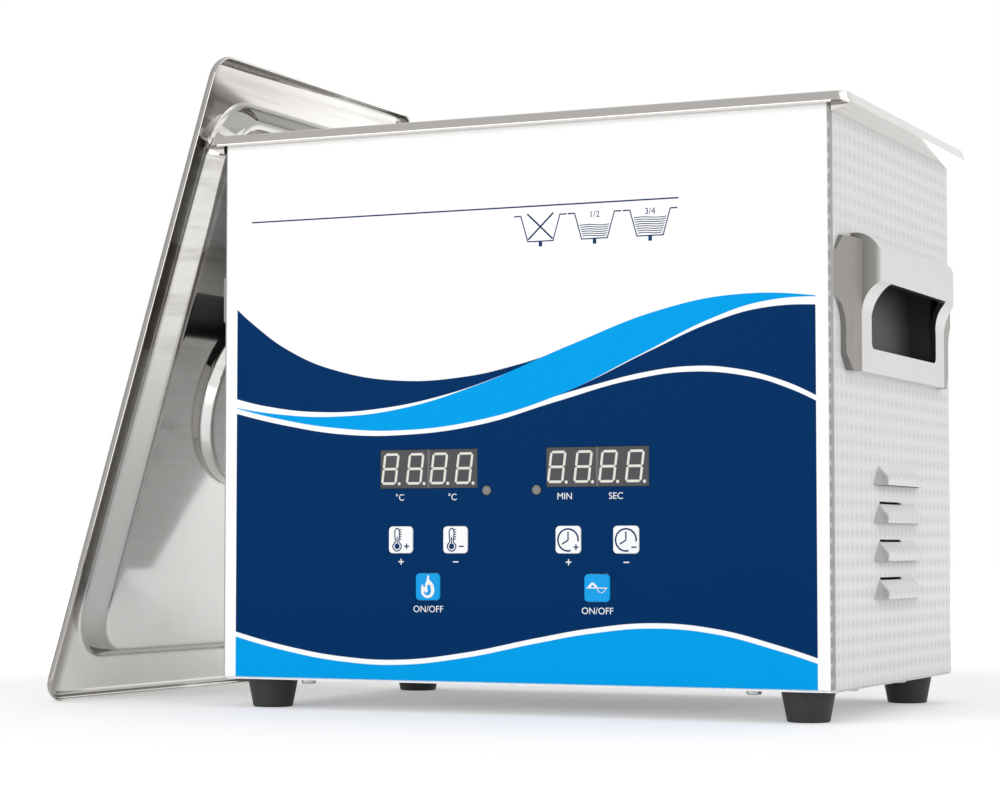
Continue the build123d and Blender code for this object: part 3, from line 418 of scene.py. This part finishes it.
LOW_TOP = (
    (-130, 20.6), (-100, 13.6), (-75, 10), (-50, 9.2), (-20, 12.6), (10, 18.6), (35, 23),
    (60, 25.2), (85, 23.4), (110, 17.6), (130, 11.6),
)
low_gap = 2.0  # the white line over the lower band


def printed_film():
    """The front film: white, with sky-blue and navy bands between flowing edges."""
    finish = Finish("printed_film", {"Metallic": 0.0, "Specular IOR Level": 0.02})
    softness = 0.16

    def under(points, drop=0.0):
        """1 below an edge, or this far below it, and 0 above."""
        laid = [(x / curve_span + 0.5, up / curve_height) for x, up in points]
        inputs = {"Value": finish.x / curve_span + 0.5}
        edge = finish.node("ShaderNodeFloatCurve", {"points": laid}, inputs) * curve_height - drop
        return finish.z.maths("ADD", (edge - finish.z) / softness, 0.5, clamp=True)

    def between(top, foot):
        return under(top) * (1 - under(foot))

    past_left = finish.x.rise(art_left - 0.1, art_left + 0.1)
    past_right = finish.x.rise(art_right - 0.1, art_right + 0.1)
    inside = past_left * (1 - past_right)
    crescent = between(CRESCENT_TOP, CRESCENT_FOOT) * (1 - finish.x.rise(14.0, 19.0))
    wedge = between(WEDGE_TOP, LINE_TOP) * finish.x.rise(11.0, 13.0)
    field = between(LINE_FOOT, LOW_TOP)
    navy = crescent.either(wedge).either(field) * inside
    sky = between(RIBBON_TOP, RIBBON_FOOT).either(under(LOW_TOP, low_gap)) * inside
    ink = finish.mix(navy, FILM_WHITE, NAVY)
    ink = finish.mix(sky, ink, SKY)
    grain = finish.noise((0.5, 0.5, 0.5))
    shade = finish.noise((70, 70, 70))
    ink = finish.mix(0.05 * shade, ink, tint(235, 235, 235), "MULTIPLY")
    finish.paint("Base Color", ink)
    finish.paint("Roughness", 0.36 + grain * 0.08)
    return finish.bump(grain + navy.either(sky) * 0.5, 0.006, 0.3)


def printed_ink(name, colour):
    """Screen-printed ink."""
    finish = Finish(name, {"Metallic": 0.0, "Specular IOR Level": 0.08})
    grain = finish.noise((0.35, 0.35, 0.35))
    darker = tuple(part * 0.93 for part in colour[:3]) + (1.0,)
    finish.paint("Base Color", finish.mix(grain, darker, colour))
    finish.paint("Roughness", grain.spread(0.34, 0.44))
    return finish.bump(grain, 0.004, 0.4)


def key_cap(name, light, dark):
    """A key's film dome."""
    finish = Finish(name, {"Metallic": 0.0, "Specular IOR Level": 0.1})
    grain = finish.noise((0.6, 0.6, 0.6))
    cloud = finish.noise((9, 9, 9))
    finish.paint("Base Color", finish.mix(cloud * 0.6 + grain * 0.4, dark, light))
    finish.paint("Roughness", grain.spread(0.3, 0.38))
    return finish.bump(grain, 0.004, 0.3)


def display_face():
    """The smoky face of a display module."""
    finish = Finish("display_face", {"Metallic": 0.0, "Specular IOR Level": 0.15})
    grain = finish.noise((0.4, 0.4, 0.4))
    cloud = finish.noise((14, 14, 14))
    face = finish.mix(cloud * 0.5 + grain * 0.5, tint(56, 55, 58), tint(84, 83, 86))
    seam = (1 - abs(abs(finish.x) - display_across).rise(0.2, 0.4)) * 0.5
    finish.paint("Base Color", finish.mix(seam, face, tint(205, 205, 208)))
    finish.paint("Roughness", grain.spread(0.3, 0.42))
    return finish.bump(grain, 0.006, 0.3)


lamp_across, lamp_up = 10.85, 77.0


def lamp_lens():
    """The frosted lens of an unlit lamp."""
    finish = Finish("lamp_lens", {"Metallic": 0.0})
    across, up = abs(finish.x) - lamp_across, finish.z - lamp_up
    away = (across * across + up * up) ** 0.5
    core = 1 - away.rise(0.2, 1.9)
    grain = finish.noise((0.5, 0.5, 0.5))
    shade = core * 0.8 + grain * 0.2
    finish.paint("Base Color", finish.mix(shade, tint(88, 84, 82), tint(112, 108, 106)))
    finish.paint("Roughness", grain.spread(0.25, 0.4))
    return finish.bump(grain, 0.01, 0.4)


by_slot = {
    "casing_paint": embossed_coating(),
    "polished_steel": rim_steel(),
    "base_zinc": zinc("base_zinc", 7.0, tint(205, 207, 209), tint(172, 175, 178), 0.35),
    "screw_steel": zinc("screw_zinc", 1.5, tint(208, 208, 206), tint(178, 178, 176), 0.3),
    "raw_aluminium": machined("turned_aluminium", tint(222, 222, 225), tint(196, 197, 200), 0.5),
    "brass": machined("brass", tint(222, 196, 120), tint(190, 160, 88), 0.4),
    "ferrite": moulded("ferrite", tint(62, 62, 66), tint(44, 44, 47), 0.6),
    "piezo_ceramic": piezo_ceramic(),
    "circuit_board": circuit_board(),
    "capacitor_sleeve": moulded("capacitor_sleeve", tint(46, 48, 54), tint(30, 31, 36), 0.3),
    "heater_silicone": woven_silicone(),
    "display_window": display_face(),
    "led_lens": lamp_lens(),
    "overlay_film": printed_film(),
    "key_white": key_cap("key_white", tint(252, 252, 252), tint(244, 245, 246)),
    "key_blue": key_cap("key_blue", tint(2, 164, 236), tint(0, 152, 224)),
    "silver_plastic": satin_silver(),
    "black_plastic": moulded("moulded_black", tint(50, 50, 51), tint(36, 36, 37), 0.42),
    "rocker_plastic": moulded("rocker_black", tint(40, 40, 42), tint(28, 28, 30), 0.25, 0.8, 0.008),
    "foot_rubber": moulded("foot_rubber", tint(44, 43, 43), tint(28, 27, 27), 0.5, 0.6, 0.03),
}
slot_of = {name: node.data.materials[0].name for name, node in nodes.items()}
for name, node in nodes.items():
    node.material_slots[0].material = by_slot[slot_of[name]].material
lid_finish = lid_steel()
for name in ("lid", "lid_handle"):
    nodes[name].material_slots[0].material = lid_finish.material


# ---- drawing flat marks -----------------------------------------------------------------
# A mark is drawn in millimetres on the sheet z = 0, x to the right and y up, and stood
# against the front afterwards.
MARK_THICKNESS = 0.04


def pick_out(*pieces):
    """Selects these pieces alone; the first is the active one."""
    bpy.ops.object.select_all(action="DESELECT")
    for piece in pieces:
        piece.select_set(True)
    bpy.context.view_layer.objects.active = pieces[0]


def as_mesh(piece):
    """Turns a curve or text into a mesh of the mark's thickness."""
    pick_out(piece)
    bpy.ops.object.convert(target="MESH")
    piece.scale.z = MARK_THICKNESS / piece.dimensions.z
    bpy.ops.object.transform_apply(location=True, rotation=True, scale=True)
    return piece


def curve_through(points, closed, smooth):
    """A Bezier curve drawn point by point."""
    bpy.ops.object.select_all(action="DESELECT")
    bpy.ops.curve.primitive_bezier_curve_add(enter_editmode=True, location=(0, 0, 0))
    bpy.ops.curve.delete(type="VERT")
    for x, y in points:
        bpy.ops.curve.vertex_add(location=(x, y, 0))
    bpy.ops.curve.select_all(action="SELECT")
    if closed:
        bpy.ops.curve.cyclic_toggle()
    bpy.ops.curve.handle_type_set(type="AUTOMATIC" if smooth else "VECTOR")
    bpy.ops.object.mode_set(mode="OBJECT")
    return bpy.context.object


def stroke(points, width, closed=False, smooth=False):
    """A line of one width through points."""
    line = curve_through(points, closed, smooth)
    line.data.bevel_depth = width / 2
    line.data.bevel_resolution = 2
    line.data.resolution_u = 8
    line.data.use_fill_caps = True
    return as_mesh(line)


def patch(points):
    """A filled, flowing outline through points."""
    outline = curve_through(points, closed=True, smooth=True)
    outline.data.dimensions = "2D"
    outline.data.fill_mode = "BOTH"
    outline.data.extrude = 1.0
    outline.data.resolution_u = 8
    return as_mesh(outline)


def arc(centre, radius, start, end, width, count):
    """Part of a ring between two angles in degrees, counted from the right, anticlockwise, and
    drawn in this many steps."""
    x, y = centre
    angles = [radians(start + (end - start) * n / count) for n in range(count + 1)]
    points = [(x + radius * cos(angle), y + radius * sin(angle)) for angle in angles]
    return stroke(points, width, smooth=True)


def disc(centre, radius):
    """A filled circle."""
    bpy.ops.object.select_all(action="DESELECT")
    bpy.ops.mesh.primitive_cylinder_add(
        vertices=32, radius=radius, depth=MARK_THICKNESS, location=(*centre, 0)
    )
    bpy.ops.object.transform_apply(location=True, rotation=True, scale=True)
    return bpy.context.object


CAPITAL_SHARE = 0.73  # a capital's height as a share of the font's size


def lettering(words, centre, height):
    """Plain capitals of a given height, centred."""
    bpy.ops.object.select_all(action="DESELECT")
    bpy.ops.object.text_add(location=(0, 0, 0))
    text = bpy.context.object
    text.data.body = words
    text.data.size = height / CAPITAL_SHARE
    text.data.extrude = 1.0
    text.data.align_x = "CENTER"
    text.location = (centre[0], centre[1] - height / 2, 0)
    return as_mesh(text)


def minus(centre, arm, width):
    x, y = centre
    return [stroke([(x - arm, y), (x + arm, y)], width)]


def plus(centre, arm, width):
    x, y = centre
    return minus(centre, arm, width) + [stroke([(x, y - arm), (x, y + arm)], width)]


def stand_up(marks, name, face, body, finish, shift=(0, 0)):
    """Joins marks and stands them against a face that looks to the front, at depth face (mm)."""
    pick_out(*marks)
    if len(marks) > 1:
        bpy.ops.object.join()
    piece = bpy.context.object
    piece.rotation_euler = (pi / 2, 0, 0)
    piece.scale = (MM, MM, MM)
    piece.location = (shift[0] * MM, (face - MARK_THICKNESS / 2) * MM, shift[1] * MM)
    bpy.ops.object.transform_apply(location=True, rotation=True, scale=True)
    piece.name = name
    piece.data.materials.clear()
    piece.data.materials.append(finish.material)
    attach(piece, body)
    return piece


film_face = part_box("front_overlay")[0].y / MM
key_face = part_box("key_heater")[0].y / MM
display_face_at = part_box("display_left_a")[0].y / MM
navy_ink = printed_ink("navy_ink", NAVY)
white_ink = printed_ink("white_ink", tint(246, 246, 246))
blue_ink = printed_ink("blue_ink", SKY)
segment_ink = printed_ink("segment_diffuser", tint(228, 229, 219))


# ---- display digits ---------------------------------------------------------------------
digit_width, digit_height, segment_width = 7.0, 12.7, 1.0
digit_lean = 0.12
digit_places = (-6.3, 4.9)  # across, from the middle of a display
digit_up = 86.0
segment_gap = 0.3
point_across, point_up, point_radius = 4.0, -6.0, 0.65  # a digit's decimal point


def segment(centre, length, upright):
    """One bar of a digit, pointed at both ends."""
    bpy.ops.object.select_all(action="DESELECT")
    bpy.ops.mesh.primitive_plane_add(size=1, location=(*centre, -MARK_THICKNESS / 2))
    bar = bpy.context.object
    bar.scale = (segment_width, length, 1) if upright else (length, segment_width, 1)
    bpy.ops.object.transform_apply(location=True, rotation=True, scale=True)
    bpy.ops.object.mode_set(mode="EDIT")
    bpy.ops.mesh.select_all(action="SELECT")
    bpy.ops.mesh.bevel(offset=segment_width * 0.46, affect="VERTICES", segments=1)
    bpy.ops.mesh.select_all(action="SELECT")
    bpy.ops.mesh.extrude_region_move(TRANSFORM_OT_translate={"value": (0, 0, MARK_THICKNESS)})
    bpy.ops.mesh.select_all(action="SELECT")
    bpy.ops.mesh.normals_make_consistent(inside=False)
    bpy.ops.object.mode_set(mode="OBJECT")
    return bar


def digit():
    """All seven bars, unlit, in a leaning eight."""
    side = (digit_width - segment_width) / 2
    top = (digit_height - segment_width) / 2
    length = digit_width - segment_width - segment_gap
    tall = top - segment_gap
    bars = [segment((0, level), length, False) for level in (-top, 0, top)]
    bars += [segment((x, y), tall, True) for x in (-side, side) for y in (-top / 2, top / 2)]
    pick_out(*bars)
    bpy.ops.object.join()
    piece = bpy.context.object
    piece.data.transform(Matrix.Shear("XZ", 4, (digit_lean, 0)))
    return piece


for name in ("display_left_a", "display_left_b", "display_right_a", "display_right_b"):
    low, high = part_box(name)
    digits = []
    for place in digit_places:
        number = digit()
        number.data.transform(Matrix.Translation((place, 0, 0)))
        digits += [number, disc((place + point_across, point_up), point_radius)]
    stand_up(
        digits,
        name.replace("display", "digits"),
        display_face_at,
        "housing",
        segment_ink,
        ((low + high).x / 2 / MM, digit_up),
    )


# ---- key symbols ------------------------------------------------------------------------
# Each is drawn round the middle of its key.
def thermometer():
    neck = [(-2.5, -0.9), (-2.6, 1.5), (-2.5, 3.7)]
    top = [(-1.6, 4.6), (-0.7, 3.7), (-0.6, 1.5), (-0.7, -0.9)]
    bulb = [(0.3, -2.4), (-0.3, -3.9), (-1.6, -4.5), (-2.9, -3.9), (-3.5, -2.4)]
    marks = [stroke(neck + top + bulb, 0.5, closed=True, smooth=True)]
    marks += [disc((-1.6, -2.6), 1.15), stroke([(-1.6, -2.6), (-1.6, 1.2)], 0.5)]
    for n in range(5):
        up = 0.3 + 0.95 * n
        marks.append(stroke([(-0.6, up), (0.35, up)], 0.42))
    return marks


def clock():
    rim = arc((0, -0.1), 4.3, -8, 285, 0.68, 20)
    hands = stroke([(0, 3.1), (0, -0.2), (-2.5, -1.7)], 0.62)
    return [rim, hands]


def flame():
    """A flame; its inner tongue in the key's own blue is a piece of its own."""
    right = [(0.3, 4.6), (0.6, 3.0), (2.0, 1.6), (2.9, -0.6), (2.6, -2.9), (1.0, -4.3)]
    left = [(-1.0, -4.3), (-2.7, -2.9), (-2.9, -0.9), (-2.3, 0.9)]
    tip = [(-1.7, -0.2), (-0.9, 1.6), (-0.3, 3.2)]
    return [patch(right + left + tip)]


def flame_tongue():
    right = [(0.4, 0.9), (1.4, -0.9), (1.3, -2.4), (0.2, -3.4)]
    left = [(-1.2, -2.9), (-1.5, -1.9), (-0.6, -2.4), (0.1, -1.6), (-0.2, -0.3)]
    return [patch(right + left)]


def sound_wave():
    """An axis with a solid arch over it and a dashed one below."""
    axis = stroke([(-4.4, 0), (4.4, 0)], 0.4)
    outer = [(-3.7, 0.1), (-3.0, 1.4), (-1.8, 2.1), (-0.6, 1.4), (0.1, 0.1)]
    inner = [(-0.7, 0.1), (-1.8, 1.2), (-2.9, 0.1)]
    marks = [axis, patch(outer + inner)]
    for start in (190, 226, 262, 298, 328):
        marks.append(arc((1.9, 0), 1.75, start, start + 26, 0.36, 4))
    return marks


def key_middle(name):
    low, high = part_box(name)
    return (low.x + high.x) / 2 / MM, (low.z + high.z) / 2 / MM


by_thermometer, by_clock = (2.7, -2.6), (3.4, -2.9)
arm, line_width = 1.1, 0.55
key_marks = {
    "key_temperature_up": thermometer() + plus(by_thermometer, arm, line_width),
    "key_temperature_down": thermometer() + minus(by_thermometer, arm, line_width),
    "key_time_up": clock() + plus(by_clock, arm, line_width),
    "key_time_down": clock() + minus(by_clock, arm, line_width),
    "key_heater": flame(),
    "key_ultrasonic": sound_wave(),
}
for name, marks in key_marks.items():
    ink = white_ink if slot_of[name] == "key_blue" else navy_ink
    symbol = name.replace("key", "symbol")
    stand_up(marks, symbol, key_face, name, ink, key_middle(name))
stand_up(
    flame_tongue(),
    "symbol_heater_tongue",
    key_face - MARK_THICKNESS,
    "key_heater",
    blue_ink,
    key_middle("key_heater"),
)


# ---- marks on the film ------------------------------------------------------------------
label_height = 2.7
unit_up, key_sign_up, switch_up = 74.6, 48.6, 29.8
label_arm, label_line = 1.2, 0.5
units = (("°C", -49.5), ("°C", -26.0), ("MIN", 22.9), ("SEC", 44.6))
labels = [lettering(words, (across, unit_up), label_height) for words, across in units]
labels += [lettering("ON/OFF", (across, switch_up), label_height) for across in (-36.7, 36.7)]
for across in (-48.9, 24.5):
    labels += plus((across, key_sign_up), label_arm, label_line)
for across in (-24.5, 48.9):
    labels += minus((across, key_sign_up), label_arm, label_line)
stand_up(labels, "film_labels", film_face, "housing", white_ink)


sign_brim, sign_floor, drain_foot = 185.8, 175.5, 173.4
sign_middle = 12.55  # from a sign's left end
sign_line = 0.6


def tank_sign(left):
    """The outline of a tank in section, with its drain."""
    brim_left, brim_right = (1.2, 4.1), (21.0, 23.9)
    wall = [(x, sign_brim) for x in brim_left]
    wall += [(7.1, sign_floor), (18.0, sign_floor)]
    wall += [(x, sign_brim) for x in brim_right]
    placed = [(left + x, up) for x, up in wall]
    drain = [(left + 12.6, sign_floor), (left + 12.6, drain_foot)]
    return [stroke(placed, sign_line), stroke(drain, 1.5)]


def water_sign(left, lowest, highest, count):
    """Lines of water across the tank's outline."""
    marks = []
    swell = ((-1, 0), (-0.5, 0.22), (0, 0), (0.5, -0.22), (1, 0))
    for n in range(count):
        up = lowest + (highest - lowest) * n / (count - 1)
        half = 4.9 + (up - 176.0) * 0.29
        middle = left + sign_middle
        line = [(middle + half * share, up + rise) for share, rise in swell]
        marks.append(stroke(line, 0.36, smooth=True))
    return marks


def level_words(left, words):
    return lettering(words, (left + sign_middle, 185.2), 2.6)


second, third = 23.2, 46.6  # where the second and third signs start, from the first
signs = tank_sign(0) + tank_sign(second) + tank_sign(third)
cross_foot, cross_top = 176.3, 186.6
signs += [
    stroke([(7.3, cross_foot), (18.2, cross_top)], 0.7),
    stroke([(17.8, cross_foot), (6.9, cross_top)], 0.7),
]
signs += water_sign(second, 176.6, 180.9, 6) + water_sign(third, 176.6, 182.7, 8)
signs += [level_words(second, "1/2"), level_words(third, "3/4")]
title_line_up = 189.6
signs.append(stroke([(-119, title_line_up), (71, title_line_up)], sign_line))
stand_up(signs, "film_signs", film_face, "housing", navy_ink)


# ---- studio -----------------------------------------------------------------------------
def background_rays(tree):
    """1 for rays that meet the white background: from the camera, and by mirror or glass."""
    kinds = ("Is Camera Ray", "Is Glossy Ray", "Is Transmission Ray")
    seen, mirrored, through = (tree.node("ShaderNodeLightPath", {}, {}, kind) for kind in kinds)
    return seen.either(mirrored).either(through)


world_strength = 0.62
glow_start, glow_end = 280, 800  # the floor turns white between these distances
world = bpy.data.worlds.new("studio")
bpy.context.scene.world = world
world.use_nodes = True
studio = Tree(world.node_tree)
sky = world.node_tree.nodes["Background"]
sky.inputs["Color"].default_value = (1, 1, 1, 1)
studio.feed(sky.inputs["Strength"], background_rays(studio).spread(world_strength, 1.0))

bpy.ops.object.select_all(action="DESELECT")
bpy.ops.mesh.primitive_plane_add(size=12, location=(0, 0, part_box("foot_front_left")[0].z))
floor = bpy.context.object
floor.name = "floor"
pale = Finish("pale_floor", {"Roughness": 0.9, "Specular IOR Level": 0.1})
cloud = pale.noise((300, 300, 300))
pale.paint("Base Color", pale.mix(cloud, tint(243, 243, 243), tint(246, 246, 246)))
pale.shader.inputs["Emission Color"].default_value = (1, 1, 1, 1)
away = (pale.x * pale.x + pale.y * pale.y) ** 0.5
glow = away.rise(glow_start, glow_end).spread(0.26, 1.0)
pale.feed(pale.shader.inputs["Emission Strength"], background_rays(pale) * glow)
floor.data.materials.append(pale.material)


def softbox(name, place, size, power):
    """A square area lamp that looks at the object's middle."""
    bpy.ops.object.light_add(type="AREA", location=place)
    lamp = bpy.context.object
    lamp.name = name
    lamp.data.size = size
    lamp.data.energy = power
    way = Vector((0, 0, 0.1)) - Vector(place)
    lamp.rotation_euler = way.to_track_quat("-Z", "Y").to_euler()


softbox("key_light", (-0.9, -2.2, 0.7), 1.3, 21)
softbox("fill_light", (1.9, -0.5, 1.0), 2.0, 12)

bpy.context.scene.view_settings.view_transform = "Standard"
